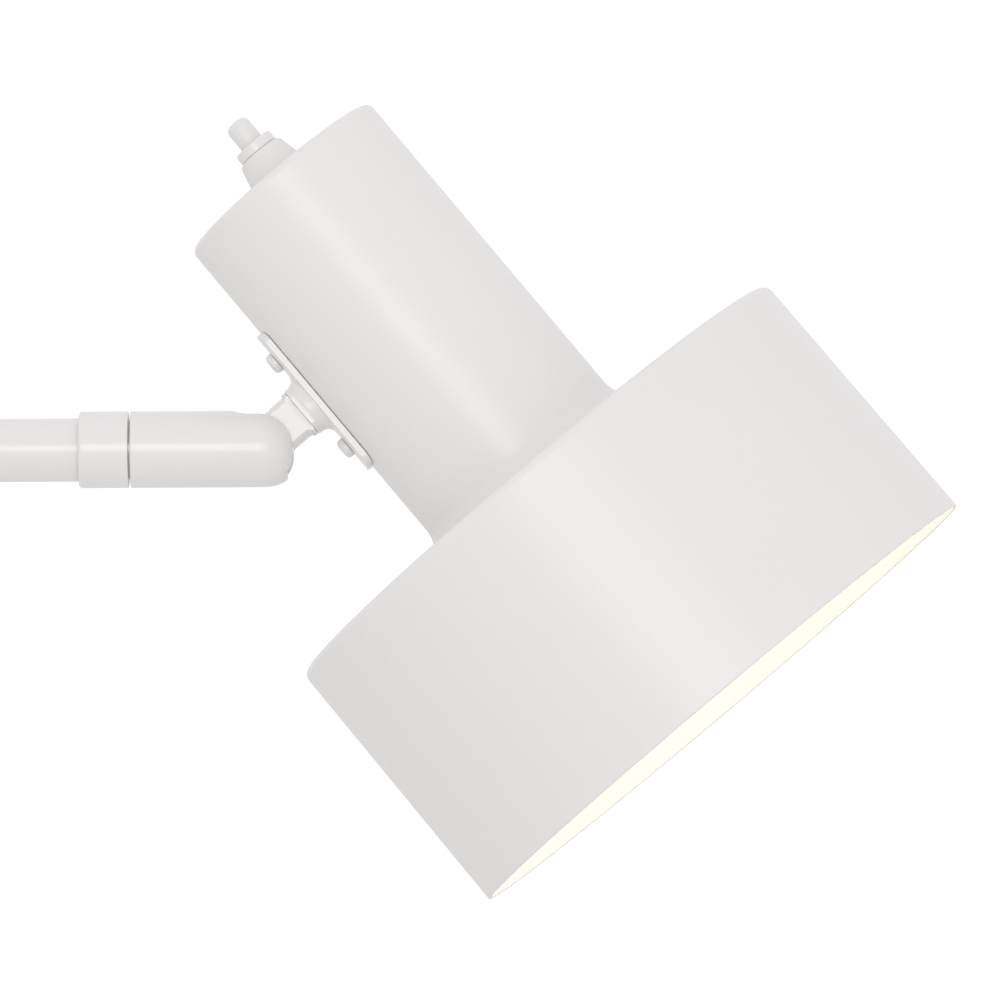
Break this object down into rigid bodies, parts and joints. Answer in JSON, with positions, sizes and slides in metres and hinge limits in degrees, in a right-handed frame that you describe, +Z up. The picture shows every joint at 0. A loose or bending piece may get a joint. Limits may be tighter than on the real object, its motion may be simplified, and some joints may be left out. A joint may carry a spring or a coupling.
{
  "type": "swing arm desk lamp",
  "caption": "White desk lamp with a round base, upright post, swing arms and a tilting, swivelling head: a narrow neck stepping out to a shallow drum shade, with a push switch on top.",
  "frame": {"origin": "centre of the base's underside, where the felt meets the desk", "axes": "+Z up, +X along both swing arms at rest, towards the head; the lamp is symmetric left to right about the XZ plane"},
  "size_m": [0.7483, 0.22, 0.4869],
  "materials": {
    "white_paint": "smooth semi-gloss white enamel",
    "white_shade": "satin white enamel, brighter inside",
    "white_plastic": "moulded white plastic",
    "cast_iron": "rough casting",
    "zinc_steel": "zinc plated",
    "felt": "dense grey felt",
    "nylon": "natural nylon",
    "flex": "sheathed flex",
    "porcelain": "unglazed porcelain",
    "brass": "stamped brass",
    "bulb_metal": "drawn aluminium",
    "opal_glass": "opal glass, lit"
  },
  "bodies": {
    "base": {"base_pad": "felt", "base_weight": "cast_iron", "base_cover": "white_paint", "cable_gland": "white_plastic", "base_nut": "zinc_steel", "base_washer": "zinc_steel", "post_stud": "zinc_steel", "post_foot_plug": "zinc_steel", "post_flange": "white_paint", "post_tube": "white_paint", "post_head": "zinc_steel", "post_washer": "nylon", "post_cap": "white_paint", "post_lead": "flex"},
    "lower_arm": {"post_hub": "white_paint", "post_bush": "nylon", "lower_arm_tube": "white_paint", "elbow_lower_hub": "white_paint", "elbow_bush": "nylon", "lower_arm_lead": "flex"},
    "upper_arm": {"elbow_stem": "zinc_steel", "elbow_upper_hub": "white_paint", "elbow_washer": "nylon", "elbow_nut": "white_paint", "elbow_cap": "white_paint", "upper_arm_tube": "white_paint", "arm_collar": "white_paint", "roll_spigot": "zinc_steel", "upper_arm_lead": "flex"},
    "knuckle": {"knuckle_housing": "white_paint", "roll_grub_screw": "zinc_steel", "knuckle_screw": "zinc_steel", "friction_washers": "nylon"},
    "tongue": {"knuckle_tongue": "white_paint", "swivel_washer": "white_paint", "swivel_spring_washer": "zinc_steel", "swivel_nut": "zinc_steel"},
    "head": {"mounting_plate": "white_paint", "plate_screws": "white_paint", "swivel_bush": "nylon", "holder_bracket": "zinc_steel", "shade_shell": "white_shade", "lampholder_cap": "white_plastic", "lampholder_body": "white_plastic", "lampholder_core": "porcelain", "screw_shell": "brass", "centre_contact": "brass", "shade_ring": "white_plastic", "switch_body": "white_plastic", "switch_nut": "white_plastic", "bulb_cap": "bulb_metal", "bulb_glass": "opal_glass", "head_lead": "flex", "button_spring": "zinc_steel"},
    "button": {"switch_button": "white_plastic"}
  },
  "joints": [
    {"name": "post_swing", "type": "hinge", "parent": "base", "child": "lower_arm", "pos_m": [0, 0, 0.3765], "axis": [0, 0, 1], "range_deg": [-170, 170]},
    {"name": "elbow_swing", "type": "hinge", "parent": "lower_arm", "child": "upper_arm", "pos_m": [0.22, 0, 0.4], "axis": [0, 0, 1], "range_deg": [-135, 135]},
    {"name": "knuckle_roll", "type": "hinge", "parent": "upper_arm", "child": "knuckle", "pos_m": [0.44, 0, 0.4], "axis": [1, 0, 0], "range_deg": [-170, 170]},
    {"name": "head_tilt", "type": "hinge", "parent": "knuckle", "child": "tongue", "pos_m": [0.46, 0, 0.4], "axis": [0, -1, 0], "range_deg": [-38, 45]},
    {"name": "head_swivel", "type": "hinge", "parent": "tongue", "child": "head", "pos_m": [0.46, 0, 0.4], "axis": [0.7694, 0, 0.6388], "range_deg": [-90, 90]},
    {"name": "button_press", "type": "slide", "parent": "head", "child": "button", "axis": [0.6388, 0, -0.7694], "range_m": [0, 0.0025], "stiffness_N_per_m": 400, "springref_m": -0.004, "deforming": ["button_spring"]}
  ]
}
